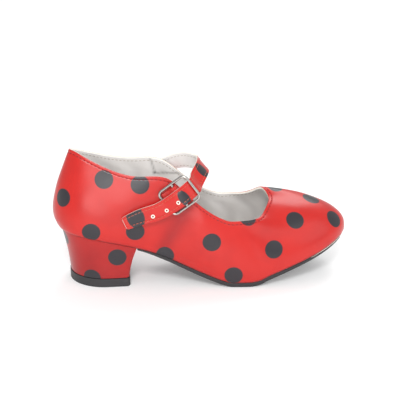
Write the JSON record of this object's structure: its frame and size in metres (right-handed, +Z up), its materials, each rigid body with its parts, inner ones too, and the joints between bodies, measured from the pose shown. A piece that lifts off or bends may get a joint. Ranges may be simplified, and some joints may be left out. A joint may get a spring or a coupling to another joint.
{
  "type": "flamenco shoe",
  "caption": "Child's flamenco shoe for the right foot, red with black polka dots, covered Cuban heel, instep strap and square buckle.",
  "frame": {"origin": "middle of the heel's tread, on the floor", "axes": "+X from the heel to the toe, +Y to the inner side of the foot, +Z up"},
  "size_m": [0.2172, 0.0712, 0.1003],
  "materials": {
    "dotted_leather": "glossy red synthetic leather with black dots",
    "lining": "matt pale grey lining",
    "black_sole": "satin black",
    "buckle_steel": "nickel plated, lightly worn"
  },
  "bodies": {
    "root": {"upper": "dotted_leather", "insole": "lining", "outsole": "black_sole", "heel": "dotted_leather", "heel_cap": "black_sole", "strap": "dotted_leather", "buckle_tab": "dotted_leather", "buckle": "buckle_steel"}
  },
  "joints": []
}
